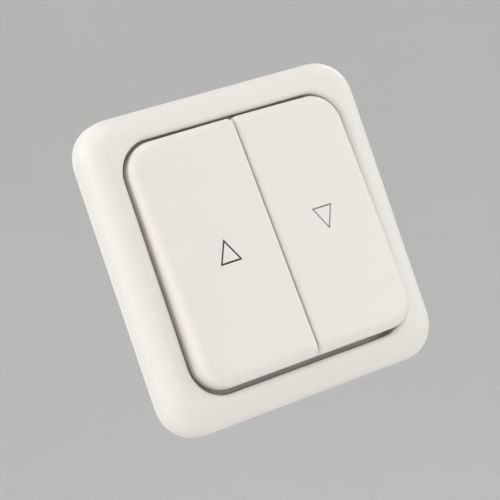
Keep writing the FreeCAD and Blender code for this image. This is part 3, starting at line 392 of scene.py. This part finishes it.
# Rocker caps.
# Two hollow caps moulded in warm white thermoplastic, polished to a satin gloss, which snap onto
# the carriers. A triangle outline is pad-printed on each: on the left one dark and pointing up, on
# the right one paler and pointing down.
warm_white = (0.895, 0.870, 0.826)
pale_white = (0.910, 0.885, 0.841)
brown_black = (0.016, 0.011, 0.009)
worn_black = (0.032, 0.023, 0.019)
warm_grey = (0.19, 0.175, 0.160)
pale_grey = (0.27, 0.25, 0.23)
ink_pore = 0.12 * MM

cap = Finish("cover_plastic", Specular_IOR_Level=0.5)
grain = cap.noise(0.22 * MM, detail=2)
drift = cap.noise(14 * MM, detail=2)
cap.feed("Base Color", drift.mixed(warm_white, pale_white))
cap.feed("Roughness", drift * 0.06 + grain * 0.08 + 0.34)
cap.bump(grain, 0.004 * MM, strength=0.5)
cap.dress("rocker_up", "rocker_down")


def printed_triangle(name, node, centre, point, line, ink):
    """A triangle outline that lies on a node's front face; point is 1 for up and -1 for down."""
    width = 6.2 * MM
    height = 6.1 * MM
    ink_thick = 0.012 * MM
    points_a_side = 14
    well_in_front = -50 * MM
    corners = [Vector((-width / 2, -point * height / 2)), Vector((width / 2, -point * height / 2)),
               Vector((0, point * height / 2))]
    middle = sum(corners, Vector((0, 0))) / 3
    inradius = height * width / (width + 2 * math.hypot(width / 2, height))
    inset = [middle + (corner - middle) * (1 - line / inradius) for corner in corners]
    face = BVHTree.FromObject(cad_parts[node], bpy.context.evaluated_depsgraph_get())
    into_wall = Vector((0, 1, 0))
    mesh = bmesh.new()
    rings = []
    for outline in (corners, inset):
        ring = []
        for start, end in zip(outline, outline[1:] + outline[:1]):
            for step in range(points_a_side):
                flat = start.lerp(end, step / points_a_side)
                eye = Vector((centre[0] + flat.x, well_in_front, centre[1] + flat.y))
                on_face, normal = face.ray_cast(eye, into_wall)[:2]
                ring.append((mesh.verts.new(on_face + normal * ink_thick),
                             mesh.verts.new(on_face - normal * ink_thick)))
        rings.append(ring)
    outer, inner = rings
    for i in range(len(outer)):
        j = (i + 1) % len(outer)
        mesh.faces.new((outer[i][0], outer[j][0], inner[j][0], inner[i][0]))
        mesh.faces.new((outer[j][0], outer[i][0], outer[i][1], outer[j][1]))
        mesh.faces.new((inner[i][0], inner[j][0], inner[j][1], inner[i][1]))
        mesh.faces.new((inner[i][1], inner[j][1], outer[j][1], outer[i][1]))
    bmesh.ops.recalc_face_normals(mesh, faces=mesh.faces)
    form = bpy.data.meshes.new(name)
    mesh.to_mesh(form)
    mesh.free()
    form.materials.append(ink.material)
    piece = bpy.data.objects.new(name, form)
    bpy.context.collection.objects.link(piece)
    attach(piece, node)


dark_ink = Finish("print_ink_dark", Roughness=0.5)
pores = dark_ink.noise(ink_pore, detail=3)
dark_ink.feed("Base Color", pores.mixed(brown_black, worn_black))
dark_ink.bump(pores, 0.003 * MM)

light_ink = Finish("print_ink_light", Roughness=0.5)
pores = light_ink.noise(ink_pore, detail=3)
light_ink.feed("Base Color", pores.mixed(warm_grey, pale_grey))
light_ink.bump(pores, 0.003 * MM)

printed_triangle("triangle_up", "rocker_up", centre=(-14.8 * MM, 0.4 * MM), point=1,
                 line=0.42 * MM, ink=dark_ink)
printed_triangle("triangle_down", "rocker_down", centre=(14.85 * MM, 0.8 * MM), point=-1,
                 line=0.36 * MM, ink=light_ink)


# Cover frame.
# A square frame moulded in the caps' plastic, rolled over on all sides, with a lip round its
# opening. It's pressed over the insert last and its rear rim meets the wall.
cap.dress("cover_frame")


# Stage.
# A plain pale floor well below the object that curves up into a bowl all round, so that no view
# of the object shows an edge behind it.
def bowl(name, radius, depth, rings, around):
    """A flat disc that turns up at its edge into a wall round everything."""
    bend = radius / 2
    wall_height = 2.5 * radius
    profile = [(radius - bend, depth)]
    for step in range(1, rings + 1):
        angle = math.radians(90) * step / rings
        profile.append((radius - bend + bend * math.sin(angle), depth + bend * (1 - math.cos(angle))))
    profile.append((radius, depth + wall_height))
    mesh = bmesh.new()
    rows = []
    for distance, height in profile:
        rows.append([mesh.verts.new((distance * math.cos(turn), distance * math.sin(turn), height))
                     for turn in (2 * math.pi * i / around for i in range(around))])
    mesh.faces.new(rows[0])
    for low, high in zip(rows, rows[1:]):
        for i in range(around):
            j = (i + 1) % around
            mesh.faces.new((low[i], high[i], high[j], low[j])).smooth = True
    bmesh.ops.recalc_face_normals(mesh, faces=mesh.faces)
    form = bpy.data.meshes.new(name)
    mesh.to_mesh(form)
    mesh.free()
    piece = bpy.data.objects.new(name, form)
    bpy.context.collection.objects.link(piece)
    return piece


dim_paper = (0.76, 0.76, 0.755)
bright_paper = (0.79, 0.79, 0.785)
paper_cloud = 0.4

paper = Finish("floor_paper", Roughness=0.9, Specular_IOR_Level=0.2)
soft = paper.noise(paper_cloud, detail=2)
paper.feed("Base Color", soft.mixed(dim_paper, bright_paper))
floor = bowl("floor", radius=2.2, depth=-0.6, rings=24, around=96)
floor.data.materials.append(paper.material)


# Light.
# Soft studio boxes on a half circle round the front, the strongest of them overhead. Those at the
# far left graze the frame's edge, and three stand behind for the views of the back.
lamp_reach = 1.5
broad = 0.9
small = 0.5
spot = 0.35
white = (1, 1, 1)
warm = (1.0, 0.95, 0.89)
sky_colour = (0.98, 0.99, 1.0, 1)
sky_strength = 0.21


def softbox(name, azimuth, elevation, size, watts, tint=white):
    """A round box that faces the object; azimuth 0 is straight ahead of it and 90 on its right."""
    aside, above = math.radians(azimuth), math.radians(elevation)
    toward = Vector((math.sin(aside) * math.cos(above), -math.cos(aside) * math.cos(above),
                     math.sin(above)))
    light = bpy.data.lights.new(name, "AREA")
    light.shape = "DISK"
    light.size = size
    light.energy = watts
    light.color = tint
    lamp = bpy.data.objects.new(name, light)
    lamp.location = toward * lamp_reach
    lamp.rotation_euler = toward.to_track_quat("Z", "Y").to_euler()
    bpy.context.collection.objects.link(lamp)


softbox("left", -80, 0, broad, 1.8)
softbox("left_spot", -86, 15, spot, 2.4)
softbox("left_above", -80, 35, broad, 3.0)
softbox("front_left", -50, 0, broad, 1.5, warm)
softbox("by_the_camera", -30, -1, small, 1.9, warm)
softbox("front_right", 40, 0, broad, 3.5)
softbox("right", 70, 0, broad, 3.1)
softbox("right_above", 70, 35, broad, 1.7)
softbox("overhead", 0, 75, broad, 6.9)
softbox("behind_left", -120, 32, broad, 4.4)
softbox("behind_right", 112, 30, broad, 3.5)
softbox("behind_above", 178, 50, broad, 2.7)

world = bpy.data.worlds.new("studio")
world.use_nodes = True
world.node_tree.nodes["Background"].inputs["Color"].default_value = sky_colour
world.node_tree.nodes["Background"].inputs["Strength"].default_value = sky_strength
bpy.context.scene.world = world
bpy.context.scene.view_settings.view_transform = "Standard"


# View.
# The photograph looks at the switch from its left, a little from below, with the picture turned.
# The middle of the switch lies just beside the picture's own, at a place given in pixels.
azimuth, elevation, roll = (math.radians(angle) for angle in (-29.67, -1.24, -18.8))
distance = 494.28 * MM
lens = 141.1
film_width = 36
picture_side = 500
middle_in_picture = (251.73, 246.28)

back = Vector((math.sin(azimuth) * math.cos(elevation), -math.cos(azimuth) * math.cos(elevation),
               math.sin(elevation)))
level = Vector((math.cos(azimuth), math.sin(azimuth), 0))
upright = back.cross(level)
right = level * math.cos(roll) + upright * math.sin(roll)
up = upright * math.cos(roll) - level * math.sin(roll)
camera = bpy.data.objects.new("camera", bpy.data.cameras.new("camera"))
camera.matrix_world = Matrix((right, up, back)).transposed().to_4x4()
camera.location = back * distance
camera.data.sensor_width = film_width
camera.data.lens = lens
camera.data.shift_x = (picture_side / 2 - middle_in_picture[0]) / picture_side
camera.data.shift_y = (middle_in_picture[1] - picture_side / 2) / picture_side
bpy.context.collection.objects.link(camera)
bpy.context.scene.camera = camera
